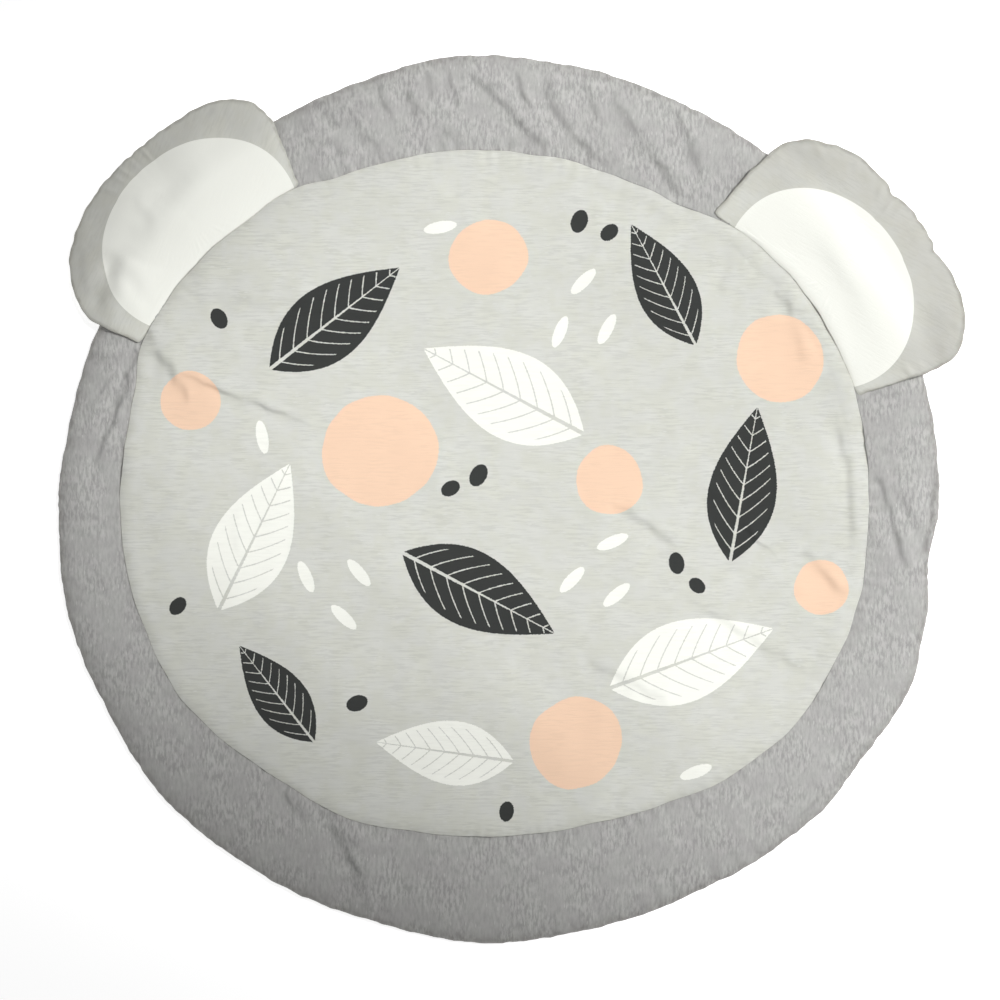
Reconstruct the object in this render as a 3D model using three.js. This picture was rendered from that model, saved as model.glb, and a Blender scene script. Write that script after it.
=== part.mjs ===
// A round padded baby play mat, lying flat, with a light oval panel sewn to its front and two stuffed ears.
// Millimetres, +Z up. The origin is the centre of the round on its underside, and +Y runs towards the ears.
import * as THREE from 'three';

// The round: one filled pad with its outer seam drawn in between the front and the back cloth.
const matRadius = 475;
const matHeight = 15;
const rimSeamHeight = 5;
const rimRoll = 32;
const rimUnderRoll = 13;
const mat = { segments: 120, colour: '#afaeaa', roughness: 0.95 };

// The light panel: a sheet of cloth sewn down along its oval edge, a little left of the middle and above it.
const panelHalfWidth = 401;
const panelHalfHeight = 366;
const panelRoundness = 2.1;
const panelShift = { x: -5, y: 7 };
const panelCloth = 2;
const panelCrown = 2;
const panel = { colour: '#cdcfc6', roughness: 0.9 };

// The sewn dip along the panel's edge is narrow on the panel's side and wide on the border's.
const seamDip = 5.5;
const seamDipOnPanel = 14;
const seamDipOnBorder = 24;

// The ears: stuffed lobes with their roots caught in the panel's seam. They lie on the border, slope down from a
// shoulder just inside the rim, and reach the floor beyond it.
const earCentreOut = 64;
const earRoundness = 2.4;
const earFilling = 18;
const earFlatness = 2.6;
const earFullness = 0.75;
const earSeam = 2.4;
const earSeamLift = 6;
const earSeamLiftPower = 5;
const earShoulderInset = 14;
const earDroopReach = 55;
const earTipHeight = 0.6;
const earRootRise = 60;
const ear = { segments: 64, colour: '#d3d4cd', roughness: 0.9 };
const ears = [
  { name: 'ear_left', rootX: -291, rootY: 261, towardsDeg: 133, halfWidth: 136, halfDepth: 94 },
  { name: 'ear_right', rootX: 315, rootY: 203, towardsDeg: 36, halfWidth: 143, halfDepth: 102 },
];

// Gap between pieces that meet, and between an ear and the border that it lies on.
const clearance = 0.3;
const earGap = 0.8;

// How far the rim stands out from the round, by angle anticlockwise from +X.
const rimSwell = [
  { deg: 0, out: -2 },
  { deg: 14, out: 0 },
  { deg: 66, out: -4 },
  { deg: 80, out: 0 },
  { deg: 96, out: 6 },
  { deg: 110, out: 0 },
  { deg: 168, out: -6 },
  { deg: 182, out: -1 },
  { deg: 196, out: 4 },
  { deg: 207, out: 2 },
  { deg: 221, out: 6 },
  { deg: 238, out: 0 },
  { deg: 254, out: -4 },
  { deg: 268, out: 0 },
  { deg: 281, out: -5 },
  { deg: 296, out: -5 },
  { deg: 308, out: 1 },
  { deg: 317, out: 6 },
  { deg: 323, out: 3 },
  { deg: 336, out: 10 },
  { deg: 344, out: 2 },
  { deg: 352, out: -9 },
];

// How far the panel's seam stands out from its even oval, in the same way.
const seamSwell = [
  { deg: 0, out: 0 },
  { deg: 30, out: 1 },
  { deg: 47, out: 0 },
  { deg: 60, out: -11 },
  { deg: 67, out: -8 },
  { deg: 82, out: 0 },
  { deg: 98, out: 5 },
  { deg: 108, out: 3 },
  { deg: 117, out: 4 },
  { deg: 124, out: 12 },
  { deg: 132, out: 9 },
  { deg: 145, out: 12 },
  { deg: 156, out: 12 },
  { deg: 164, out: 0 },
  { deg: 172, out: -2 },
  { deg: 182, out: 1 },
  { deg: 196, out: 1 },
  { deg: 211, out: 4 },
  { deg: 230, out: -2 },
  { deg: 246, out: 5 },
  { deg: 256, out: 1 },
  { deg: 270, out: 0 },
  { deg: 286, out: -3 },
  { deg: 298, out: 0 },
  { deg: 310, out: 8 },
  { deg: 323, out: 12 },
  { deg: 334, out: 8 },
  { deg: 345, out: 6 },
  { deg: 354, out: 1 },
];

// Soft troughs (rise below 0) and ridges (rise above 0) in the front cloth, each along a line from start to end.
const foldHalfWidth = 14;
const foldLip = 0.8;
const foldEndFade = 6;
const folds = [
  { startX: -160, startY: 425, endX: -132, endY: 362, rise: -2.5 },
  { startX: -106, startY: 452, endX: -92, endY: 398, rise: -2.5 },
  { startX: -50, startY: 455, endX: -20, endY: 395, rise: -3 },
  { startX: -25, startY: 452, endX: 62, endY: 376, rise: -4 },
  { startX: 54, startY: 448, endX: 116, endY: 361, rise: -4 },
  { startX: 118, startY: 428, endX: 180, endY: 340, rise: -4 },
  { startX: 178, startY: 412, endX: 232, endY: 322, rise: -4.5 },
  { startX: -396, startY: 160, endX: -424, endY: 58, rise: -4 },
  { startX: -447, startY: -148, endX: -392, endY: -200, rise: -3 },
  { startX: -228, startY: -330, endX: -146, endY: -430, rise: -5 },
  { startX: 200, startY: -395, endX: 232, endY: -350, rise: 2 },
  { startX: 398, startY: 100, endX: 428, endY: -30, rise: -4 },
  { startX: 422, startY: -5, endX: 438, endY: -120, rise: -3 },
  { startX: -376, startY: 170, endX: -330, endY: 112, rise: -3.5 },
  { startX: -340, startY: 132, endX: -208, endY: 80, rise: -4 },
  { startX: -345, startY: 214, endX: -140, endY: 192, rise: -2 },
  { startX: 252, startY: 250, endX: 326, endY: 182, rise: -3 },
  { startX: 330, startY: 188, endX: 366, endY: 66, rise: -3.5 },
  { startX: 366, startY: 72, endX: 368, endY: -46, rise: -3.5 },
  { startX: 196, startY: 24, endX: 372, endY: -98, rise: -2.5 },
  { startX: 208, startY: -104, endX: 344, endY: -176, rise: -2 },
  { startX: 100, startY: -172, endX: 190, endY: -214, rise: -2 },
  { startX: 70, startY: 70, endX: 166, endY: 112, rise: 2 },
];

// Troughs in the ears, with X along the root from its middle and Y out of it, away from the panel.
const earFolds = [
  { startX: -96, startY: 46, endX: -34, endY: 118, rise: -3 },
  { startX: 60, startY: 52, endX: 112, endY: 92, rise: -3 },
];

const radians = THREE.MathUtils.degToRad;

// A table's value at an angle, eased between its rows, all the way round.
function swellAt(rows, angle) {
  const deg = THREE.MathUtils.euclideanModulo(THREE.MathUtils.radToDeg(angle), 360);
  const next = rows.findIndex((row) => row.deg > deg);
  const before = rows[(next < 0 ? rows.length : next) - 1];
  const after = next < 0 ? { deg: 360, out: rows[0].out } : rows[next];
  const share = THREE.MathUtils.smoothstep(deg, before.deg, after.deg);
  return THREE.MathUtils.lerp(before.out, after.out, share);
}

// Distance from the origin to the outer seam, and to the panel's seam, in a direction.
function rimAt(angle) {
  return matRadius + swellAt(rimSwell, angle);
}

function panelEdgeAt(angle) {
  const cos = Math.cos(angle);
  const sin = Math.sin(angle);
  const wide = Math.abs(cos / panelHalfWidth) ** panelRoundness;
  const tall = Math.abs(sin / panelHalfHeight) ** panelRoundness;
  const even = (wide + tall) ** (-1 / panelRoundness);
  return even + panelShift.x * cos + panelShift.y * sin + swellAt(seamSwell, angle);
}

// Height that a table's folds add at a point: full on a fold's line, a low lip beside it, faded at its ends.
function foldedBy(rows, x, y) {
  const point = new THREE.Vector2(x, y);
  return rows.reduce((sum, { startX, startY, endX, endY, rise }) => {
    const start = new THREE.Vector2(startX, startY);
    const line = new THREE.Vector2(endX, endY).sub(start);
    const along = THREE.MathUtils.clamp(point.clone().sub(start).dot(line) / line.lengthSq(), 0, 1);
    const offLine = start.addScaledVector(line, along).distanceTo(point);
    const across = (offLine / foldHalfWidth) ** 2;
    const faded = 1 - (2 * along - 1) ** foldEndFade;
    return sum + rise * (1 - foldLip * across) * Math.exp(-across) * faded;
  }, 0);
}

// Height of the front cloth: full over the filling, drawn down to the outer seam, dipped along the panel's seam.
function frontHeight(x, y) {
  const angle = Math.atan2(y, x);
  const radius = Math.hypot(x, y);
  const seam = panelEdgeAt(angle);
  const rolled = THREE.MathUtils.clamp((rimAt(angle) - radius) / rimRoll, 0, 1);
  const offSeam = radius - seam;
  const dipWidth = offSeam < 0 ? seamDipOnPanel : seamDipOnBorder;
  const full = Math.sqrt(1 - (1 - rolled) ** 2);
  const filled = (matHeight - rimSeamHeight + foldedBy(folds, x, y)) * full;
  const dip = seamDip * Math.exp(-((offSeam / dipWidth) ** 2));
  const crown = panelCrown * Math.max(0, 1 - (radius / seam) ** 2);
  return rimSeamHeight + filled - dip + crown;
}

// A turned profile whose stations are then put in place one by one, at each angle, by the function given. A turned
// quad is cut from its first ring ahead to its second ring behind. Where the rings widen it is cut the other way, so
// that a skin facing down and one facing up on the same rings keep their gap.
function shapedLathe(stations, segments, place) {
  const profile = stations.map((station, row) => new THREE.Vector2(row + 1, row));
  const geometry = new THREE.LatheGeometry(profile, segments);
  const position = geometry.getAttribute('position');
  const rows = stations.length;
  for (let turn = 0; turn <= segments; turn += 1) {
    const angle = ((turn % segments) / segments) * 2 * Math.PI;
    stations.forEach((station, row) => {
      const { x, y, z } = place(station, angle);
      position.setXYZ(turn * rows + row, x, y, z);
    });
  }
  const triangles = [];
  for (let turn = 0; turn < segments; turn += 1) {
    for (let row = 0; row < rows - 1; row += 1) {
      const [first, ahead] = [turn * rows + row, (turn + 1) * rows + row];
      if (stations[row + 1].share > stations[row].share) {
        triangles.push(first, ahead, ahead + 1, first, ahead + 1, first + 1);
      } else {
        triangles.push(first, ahead, first + 1, ahead, ahead + 1, first + 1);
      }
    }
  }
  geometry.setIndex(triangles);
  geometry.computeVertexNormals();
  return geometry;
}

function polar(radius, angle, z) {
  return new THREE.Vector3(radius * Math.cos(angle), radius * Math.sin(angle), z);
}

// Shares of the way from the middle to the panel's seam, and from there to the rim.
const panelShares = [0, 0.26, 0.44, 0.57, 0.68, 0.78, 0.86, 0.92, 0.965];
const borderShares = [0, 0.1, 0.24, 0.42, 0.6, 0.76, 0.88, 0.96, 1];

// The filled round, with a seat as deep as the panel's cloth. The underside's fan starts a little off the middle, so
// that the origin lies inside a face.
function matGeometry() {
  const undersideHub = new THREE.Vector3(7, 3, 0);
  const stations = [
    { part: 'hub' },
    { part: 'underside' },
    ...borderShares.toReversed().map((share) => ({ part: 'border', share })),
    { part: 'seat', share: 1 },
    ...panelShares.toReversed().map((share) => ({ part: 'seat', share })),
  ];
  return shapedLathe(stations, mat.segments, (station, angle) => {
    const seam = panelEdgeAt(angle);
    const rim = rimAt(angle);
    if (station.part === 'hub') return undersideHub;
    if (station.part === 'underside') return polar(rim - rimUnderRoll, angle, 0);
    const onBorder = station.part === 'border';
    const radius = onBorder ? THREE.MathUtils.lerp(seam, rim, station.share) : seam * station.share;
    const point = polar(radius, angle, 0);
    point.z = frontHeight(point.x, point.y) - (onBorder ? 0 : panelCloth + clearance);
    return point;
  });
}

// The panel's sheet, one thickness all over, on the same rings as the seat below it.
function panelGeometry() {
  const stations = [
    ...panelShares.map((share) => ({ share, down: panelCloth })),
    { share: 1, down: panelCloth },
    { share: 1, down: 0 },
    ...panelShares.toReversed().map((share) => ({ share, down: 0 })),
  ];
  return shapedLathe(stations, mat.segments, (station, angle) => {
    const radius = panelEdgeAt(angle) * station.share - (station.share === 1 ? clearance : 0);
    const point = polar(radius, angle, 0);
    point.z = frontHeight(point.x, point.y) - station.down;
    return point;
  });
}

// What an ear lies on: the border, and past its shoulder a straight slope down to the floor.
function earRest(x, y) {
  const beyondRim = Math.hypot(x, y) - rimAt(Math.atan2(y, x));
  const shoulder = matHeight + earGap;
  const fallen = (beyondRim + earShoulderInset) / (earShoulderInset + earDroopReach);
  const slope = THREE.MathUtils.lerp(shoulder, earTipHeight, THREE.MathUtils.clamp(fallen, 0, 1));
  if (beyondRim > 0) return slope;
  const onBorder = frontHeight(x, y) + earGap;
  return beyondRim > -earShoulderInset ? Math.max(onBorder, slope) : onBorder;
}

// One stuffed ear, in rings about its middle. Its outline is a rounded lobe cut off along the panel's seam.
function earGeometry({ rootX, rootY, towardsDeg, halfWidth, halfDepth }) {
  const outwards = new THREE.Vector2(1, 0).rotateAround(new THREE.Vector2(), radians(towardsDeg));
  const sideways = new THREE.Vector2(outwards.y, -outwards.x);
  const root = new THREE.Vector2(rootX, rootY);
  const at = (across, out) => root.clone().addScaledVector(sideways, across).addScaledVector(outwards, out);
  const inside = (across, out) => {
    const lobe = Math.abs(across / halfWidth) ** earRoundness
      + Math.abs((out - earCentreOut) / halfDepth) ** earRoundness;
    const point = at(across, out);
    return lobe < 1 && point.length() > panelEdgeAt(point.angle());
  };
  const reach = (angle) => {
    let [near, far] = [0, 2 * halfWidth];
    while (far - near > 0.01) {
      const middle = (near + far) / 2;
      if (inside(middle * Math.cos(angle), earCentreOut + middle * Math.sin(angle))) near = middle;
      else far = middle;
    }
    return near;
  };
  const shares = [0, 0.3, 0.55, 0.74, 0.87, 0.95, 1];
  const stations = [
    ...shares.map((share) => ({ share, front: false })),
    ...shares.toReversed().map((share) => ({ share, front: true })),
  ];
  return shapedLathe(stations, ear.segments, ({ share, front }, angle) => {
    const offMiddle = reach(angle) * share;
    const across = offMiddle * Math.cos(angle);
    const out = earCentreOut + offMiddle * Math.sin(angle);
    const { x, y } = at(across, out);
    const rootRise = THREE.MathUtils.smoothstep(out, 0, earRootRise);
    const underside = earRest(x, y) + earSeamLift * share ** earSeamLiftPower * rootRise;
    const filled = (earFilling + foldedBy(earFolds, across, out)) * (1 - share ** earFlatness) ** earFullness;
    return new THREE.Vector3(x, y, underside + (front ? earSeam + filled : 0));
  });
}

function piece(name, geometry, { colour, roughness }) {
  const material = new THREE.MeshStandardMaterial({ color: colour, roughness, metalness: 0 });
  const mesh = new THREE.Mesh(geometry, material);
  mesh.name = name;
  return mesh;
}

const playMat = new THREE.Group();
playMat.add(piece('mat_body', matGeometry(), mat));
playMat.add(piece('centre_panel', panelGeometry(), panel));
for (const row of ears) playMat.add(piece(row.name, earGeometry(row), ear));

export default playMat;
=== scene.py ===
import math
import random
from contextlib import contextmanager
from typing import NamedTuple

import bmesh
import bpy
import numpy as np
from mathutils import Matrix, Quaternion, Vector


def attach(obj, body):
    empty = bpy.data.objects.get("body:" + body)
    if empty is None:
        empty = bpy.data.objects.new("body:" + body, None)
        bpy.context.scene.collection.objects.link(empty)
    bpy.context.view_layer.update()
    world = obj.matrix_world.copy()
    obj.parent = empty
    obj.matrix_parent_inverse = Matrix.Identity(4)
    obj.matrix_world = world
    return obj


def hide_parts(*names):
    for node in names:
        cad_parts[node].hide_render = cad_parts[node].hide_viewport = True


bl_info = {
    "name": "Round play mat",
    "version": (1, 0, 0),
    "blender": (4, 5, 0),
    "location": "3D View > Sidebar > Play mat",
    "description": "Makes a padded round play mat with a printed oval panel and two stuffed ears",
    "category": "Add Mesh",
}

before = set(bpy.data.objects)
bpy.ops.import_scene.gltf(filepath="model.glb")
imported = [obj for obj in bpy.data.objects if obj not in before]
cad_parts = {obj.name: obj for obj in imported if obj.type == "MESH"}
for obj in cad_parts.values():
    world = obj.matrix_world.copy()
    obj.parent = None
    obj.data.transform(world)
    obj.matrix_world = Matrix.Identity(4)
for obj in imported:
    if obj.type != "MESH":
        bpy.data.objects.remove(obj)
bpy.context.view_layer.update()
MM = 0.001

# The round's middle is the origin. The panel's even oval has its half sizes, middle and roundness.
MAT_RADIUS = 475 * MM
PANEL_GAP = 0.2 * MM
PANEL_HALF = Vector((401, 366)) * MM
PANEL_MIDDLE = Vector((-5, 7)) * MM
PANEL_ROUNDNESS = 2.1


def linear(red, green, blue):
    """A colour read off a screen, 0 to 255, as the shader's own numbers."""
    return tuple((value / 255) ** 2.2 for value in (red, green, blue))


# Shapes

class Swell(NamedTuple):
    """How far a seam stands out of its even round, in mm, at an angle anticlockwise from +X."""
    deg: float
    out: float


RIM_SWELL = [Swell(*row) for row in (
    (0, -2), (14, 0), (66, -4), (80, 0), (96, 6), (110, 0),
    (168, -6), (182, -1), (196, 4), (207, 2), (221, 6), (238, 0),
    (254, -4), (268, 0), (281, -5), (296, -5), (308, 1), (317, 6),
    (323, 3), (336, 10), (344, 2), (352, -9),
)]
SEAM_SWELL = [Swell(*row) for row in (
    (0, 0), (30, 1), (47, 0), (60, -11), (67, -8), (82, 0),
    (98, 5), (108, 3), (117, 4), (124, 12), (132, 9), (145, 12),
    (156, 12), (164, 0), (172, -2), (182, 1), (196, 1), (211, 4),
    (230, -2), (246, 5), (256, 1), (270, 0), (286, -3), (298, 0),
    (310, 8), (323, 12), (334, 8), (345, 6), (354, 1),
)]


class Fold(NamedTuple):
    """A crease from start through bend to end, in mm: a step up to its left side that sinks back slowly."""
    start: tuple
    bend: tuple
    end: tuple
    width: float
    rise: float


BORDER_FOLDS = [
    Fold((-176, 387), (-171, 376), (-165, 364), 4, 0.9),
    Fold((-190, 432), (-180, 416), (-168, 400), 3.6, 1.4),
    Fold((-166, 425), (-148, 398), (-124, 370), 4, 1.4),
    Fold((-130, 455), (-124, 430), (-115, 405), 3.2, 1.7),
    Fold((-99, 455), (-95, 433), (-88, 408), 3, 1.7),
    Fold((-77, 464), (-75, 446), (-71, 428), 2.8, 1.4),
    Fold((-66, 411), (-58, 398), (-50, 386), 4, 1.0),
    Fold((-53, 466), (-49, 444), (-41, 422), 3.2, 2.0),
    Fold((-38, 465), (16, 412), (53, 375), 4.5, 2.1),
    Fold((19, 466), (23, 444), (35, 418), 2.8, 1.6),
    Fold((52, 464), (63, 413), (118, 359), 4, 1.9),
    Fold((90, 454), (98, 431), (108, 404), 3, 1.2),
    Fold((123, 432), (157, 378), (204, 321), 4, 2.2),
    Fold((184, 428), (203, 386), (218, 341), 3.6, 2.0),
    Fold((-408, 142), (-427, 117), (-447, 78), 3, 1.9),
    Fold((-385, 164), (-407, 104), (-432, 38), 3.2, 3.0),
    Fold((-426, 42), (-431, 33), (-438, 22), 3, 0.8),
    Fold((-451, -145), (-438, -168), (-422, -192), 3.5, 1.3),
    Fold((-231, -309), (-222, -325), (-208, -343), 3.4, 3.6),
    Fold((-187, -344), (-158, -380), (-142, -440), 5, 5.0),
    Fold((-121, -438), (-116, -445), (-110, -452), 3, 1.4),
    Fold((-103, -402), (-102, -416), (-100, -432), 3, 1.0),
    Fold((404, 30), (419, -8), (437, -78), 2.6, 1.9),
    Fold((420, 20), (440, -14), (459, -50), 4.6, 1.7),
    Fold((471, 46), (467, 0), (455, -72), 2.6, 3.4),
    Fold((406, -246), (368, -297), (314, -342), 2.4, 2.4),
]
PANEL_FOLDS = [
    Fold((-388, 196), (-358, 148), (-330, 106), 4.5, 2.4),
    Fold((-343, 137), (-284, 113), (-200, 82), 2.6, 1.9),
    Fold((-353, 217), (-260, 214), (-160, 209), 7, 0.9),
    Fold((-235, 51), (-256, 34), (-283, 12), 5, 0.9),
    Fold((-280, -9), (-282, -36), (-277, -62), 4, 0.6),
    Fold((264, 261), (246, 246), (234, 226), 3.6, 1.4),
    Fold((294, 225), (308, 212), (318, 197), 3.4, 1.4),
    Fold((317, 196), (320, 172), (320, 146), 6, 0.8),
    Fold((361, 98), (372, 38), (380, -46), 3.6, 1.5),
    Fold((119, 0), (153, -21), (195, -53), 3.6, 1.5),
    Fold((205, 15), (233, 4), (261, -15), 4, 0.9),
    Fold((259, -21), (274, -39), (300, -61), 2.4, 1.3),
    Fold((324, -48), (344, -74), (372, -104), 4.2, 1.4),
    Fold((198, -102), (268, -146), (330, -184), 3.4, 1.1),
    Fold((88, -171), (134, -191), (184, -218), 4, 1.1),
    Fold((76, 73), (119, 93), (162, 113), 7, 0.7),
]
FOLD_REACH = 5


def polar(x, y):
    """A place's angle round the middle, anticlockwise from +X, and its distance from there."""
    return np.arctan2(y, x), np.hypot(x, y)


def smooth_step(value, low, high):
    share = np.clip((value - low) / (high - low), 0, 1)
    return share * share * (3 - 2 * share)


def bell(distance, width):
    """1 on a line, falling away on both sides of it."""
    return np.exp(-(distance / width) ** 2)


def trailing(distance, width):
    """1 up to an edge, falling away past it."""
    return np.exp(-np.maximum(distance, 0) / width)


def eased(rows, angle):
    """The table's value at each angle, eased between its rows, all the way round."""
    places = np.array([row.deg for row in rows] + [rows[0].deg + 360])
    values = np.array([row.out for row in rows] + [rows[0].out])
    deg = np.mod(np.degrees(angle), 360)
    after = np.clip(np.searchsorted(places, deg, side="right"), 1, len(places) - 1)
    share = smooth_step(deg, places[after - 1], places[after])
    return values[after - 1] * (1 - share) + values[after] * share


def wavering(angle, fewest, most, seed, waves=28):
    """Puckers round a seam, about 1 high: waves that go round it a whole number of times."""
    draw = random.Random(seed)
    total = np.zeros_like(angle)
    for _ in range(waves):
        total += np.cos(draw.randint(fewest, most) * angle + draw.uniform(0, 2 * math.pi))
    return total * math.sqrt(2 / waves)


def undulating(x, y, length, seed, waves=12):
    """Soft unevenness of about 1, with no direction, from flat waves of about the given length."""
    draw = random.Random(seed)
    total = np.zeros_like(x)
    for _ in range(waves):
        heading = draw.uniform(0, math.pi)
        number = 2 * math.pi / (length * draw.uniform(0.7, 1.5))
        along = x * math.cos(heading) + y * math.sin(heading)
        total += np.cos(number * along + draw.uniform(0, 2 * math.pi))
    return total * math.sqrt(2 / waves)


def fold_path(fold, steps=8):
    """Points along a smooth bend through the fold's three places."""
    start, bend, end = (np.array(place) * MM for place in (fold.start, fold.bend, fold.end))
    pull = 2 * bend - (start + end) / 2
    shares = np.linspace(0, 1, steps + 1)[:, None]
    return (1 - shares) ** 2 * start + 2 * shares * (1 - shares) * pull + shares ** 2 * end


def beside(fold, x, y):
    """A place's distance from the fold, above 0 on its left side, and its share of the way along it."""
    path = fold_path(fold)
    nearest = np.full_like(x, np.inf)
    side = np.zeros_like(x)
    along = np.zeros_like(x)
    steps = len(path) - 1
    for step in range(steps):
        (ax, ay), (bx, by) = path[step], path[step + 1]
        dx, dy = bx - ax, by - ay
        share = np.clip(((x - ax) * dx + (y - ay) * dy) / (dx * dx + dy * dy), 0, 1)
        away = np.hypot(x - ax - share * dx, y - ay - share * dy)
        closer = away < nearest
        nearest = np.where(closer, away, nearest)
        side = np.where(closer, np.sign(dx * (y - ay) - dy * (x - ax)), side)
        along = np.where(closer, (step + share) / steps, along)
    return nearest * side, along


def folded(x, y, folds):
    """Height that the folds add, a little crooked and uneven, faded towards their ends."""
    total = np.zeros_like(x)
    astray = 1.0 * MM * undulating(x, y, 28 * MM, seed=51)
    strength = 1 + 0.25 * undulating(x, y, 34 * MM, seed=52)
    for fold in folds:
        off_line, along = beside(fold, x, y)
        across = (off_line + astray) / (fold.width * MM)
        step_up = np.tanh(across) * bell(across, FOLD_REACH)
        total += fold.rise * MM * step_up * (1 - (2 * along - 1) ** 4)
    return total * strength


def rim_at(angle):
    """Distance from the middle to the rim seam, with its small scallops."""
    scallops = 0.32 * wavering(angle, 24, 120, seed=3) + 0.16 * wavering(angle, 150, 300, seed=4)
    return MAT_RADIUS + (eased(RIM_SWELL, angle) + scallops) * MM


def seam_at(angle):
    """Distance from the middle to the panel's seam."""
    wide = np.abs(np.cos(angle) / PANEL_HALF.x) ** PANEL_ROUNDNESS
    tall = np.abs(np.sin(angle) / PANEL_HALF.y) ** PANEL_ROUNDNESS
    shift = PANEL_MIDDLE.x * np.cos(angle) + PANEL_MIDDLE.y * np.sin(angle)
    uneven = (eased(SEAM_SWELL, angle) + 0.35 * wavering(angle, 12, 60, seed=8)) * MM
    return (wide + tall) ** (-1 / PANEL_ROUNDNESS) + shift + uneven


def past_rim(x, y):
    """How far outside the rim a place is, below 0 on the mat."""
    angle, radius = polar(x, y)
    return radius - rim_at(angle)


def past_seam(x, y):
    """How far outside the panel's seam a place is, below 0 on the panel."""
    angle, radius = polar(x, y)
    return radius - seam_at(angle)


def filled_height(x, y, sizes):
    """The front cloth over its filling, rolled to the rim and dipped along the seam, and how full it is."""
    angle, radius = polar(x, y)
    seam = seam_at(angle)
    off_seam = radius - seam
    rolled = np.clip((rim_at(angle) - radius) / sizes.rim_roll, 0, 1)
    full = np.sqrt(1 - (1 - rolled) ** 2)
    dip = sizes.seam_dip * bell(off_seam, np.where(off_seam < 0, sizes.dip_on_panel, sizes.dip_on_border))
    crown = sizes.crown * np.maximum(0, 1 - (radius / seam) ** 2)
    return sizes.rim_seam + (sizes.height - sizes.rim_seam) * full - dip + crown, full


def border_height(x, y, sizes):
    """The grey border's surface, with folds, soft waves and puckers along its two seams."""
    height, full = filled_height(x, y, sizes)
    angle, off_seam = np.arctan2(y, x), past_seam(x, y)
    waves = 0.5 * undulating(x, y, 70 * MM, seed=11) + 0.18 * undulating(x, y, 24 * MM, seed=12)
    rim_puckers = 0.6 * wavering(angle, 60, 190, seed=13) * bell(past_rim(x, y), 22 * MM)
    seam_puckers = 0.45 * wavering(angle, 90, 260, seed=14) * bell(off_seam, 14 * MM)
    tuck = 0.2 * trailing(off_seam, 1.4 * MM)
    raised = full * (waves + rim_puckers) + seam_puckers - tuck
    return height + full * folded(x, y, BORDER_FOLDS) + raised * MM


def panel_height(x, y, sizes):
    """The panel's surface: its turned-in seam allowance stands a little proud along the edge."""
    inset = np.maximum(-past_seam(x, y), 0)
    waves = 0.8 * undulating(x, y, 150 * MM, seed=21) + 0.22 * undulating(x, y, 42 * MM, seed=22)
    allowance = 0.5 * (1 - smooth_step(inset, 12 * MM, 21 * MM))
    puckers = 0.25 * wavering(np.arctan2(y, x), 80, 240, seed=23) * bell(inset, 16 * MM)
    tuck = 0.4 * trailing(inset, 1.5 * MM)
    raised = waves + allowance + puckers - tuck
    return filled_height(x, y, sizes)[0] + folded(x, y, PANEL_FOLDS) + raised * MM


def back_height(x, y, sizes):
    """The back cloth: flat on the floor, then up to the rim seam, with low puckers that never sink below."""
    off_rim = past_rim(x, y)
    risen = np.clip(1 + off_rim / sizes.under_roll, 0, 1)
    puckers = 0.9 * np.maximum(0, wavering(np.arctan2(y, x), 60, 200, seed=31)) * bell(off_rim, 26 * MM)
    rucks = 0.7 * np.maximum(0, undulating(x, y, 120 * MM, seed=32) - 0.9)
    return sizes.rim_seam * (1 - np.sqrt(1 - risen ** 2)) + (puckers * (1 - risen) + rucks) * MM


# Meshes

def vertices_of(mesh):
    """The x, y and z of all the mesh's vertices, as three rows."""
    places = np.empty(len(mesh.vertices) * 3)
    mesh.vertices.foreach_get("co", places)
    return places.reshape(-1, 3).T


def set_vertices(mesh, x, y, z):
    mesh.vertices.foreach_set("co", np.stack([x, y, z], axis=1).ravel())
    mesh.update()


def set_rings(mesh, angle, radius, z):
    set_vertices(mesh, radius * np.cos(angle), radius * np.sin(angle), z)


def add_attribute(mesh, name, values):
    """A number at each point of the mesh, for its material to read."""
    mesh.attributes.new(name, "FLOAT", "POINT").data.foreach_set("value", values)


def shade_smooth(mesh):
    mesh.polygons.foreach_set("use_smooth", [True] * len(mesh.polygons))


def piece_from(bm, name, material):
    """A shown, smooth-shaded object made of the bmesh."""
    mesh = bpy.data.meshes.new(name)
    bm.to_mesh(mesh)
    bm.free()
    shade_smooth(mesh)
    mesh.materials.append(material)
    piece = bpy.data.objects.new(name, mesh)
    bpy.context.scene.collection.objects.link(piece)
    return piece


@contextmanager
def edited(mesh):
    """The mesh as a bmesh, put back into it afterwards."""
    bm = bmesh.new()
    bm.from_mesh(mesh)
    yield bm
    bm.to_mesh(mesh)
    bm.free()


def refine(mesh, folds, reach, wanted=True):
    """Halves the mesh's faces beside the folds, within so many of each fold's widths."""
    x, y, _ = vertices_of(mesh)
    beside_each = [abs(beside(fold, x, y)[0]) < reach * fold.width * MM for fold in folds]
    near = np.any(beside_each, axis=0) & wanted
    with edited(mesh) as bm:
        edges = [edge for edge in bm.edges if all(near[end.index] for end in edge.verts)]
        bmesh.ops.subdivide_edges(bm, edges=edges, cuts=1, use_grid_fill=True)
    shade_smooth(mesh)


def cloth_disc(name, cells, material):
    """A flat grid rounded into a disc: the piece, and each point's angle and share of the way out."""
    bm = bmesh.new()
    bmesh.ops.create_grid(bm, x_segments=cells, y_segments=cells, size=1)
    piece = piece_from(bm, name, material)
    u, v, _ = vertices_of(piece.data)
    angle, share = polar(u * np.sqrt(1 - v * v / 2), v * np.sqrt(1 - u * u / 2))
    return piece, angle, np.clip(share, 0, 1)


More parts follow.
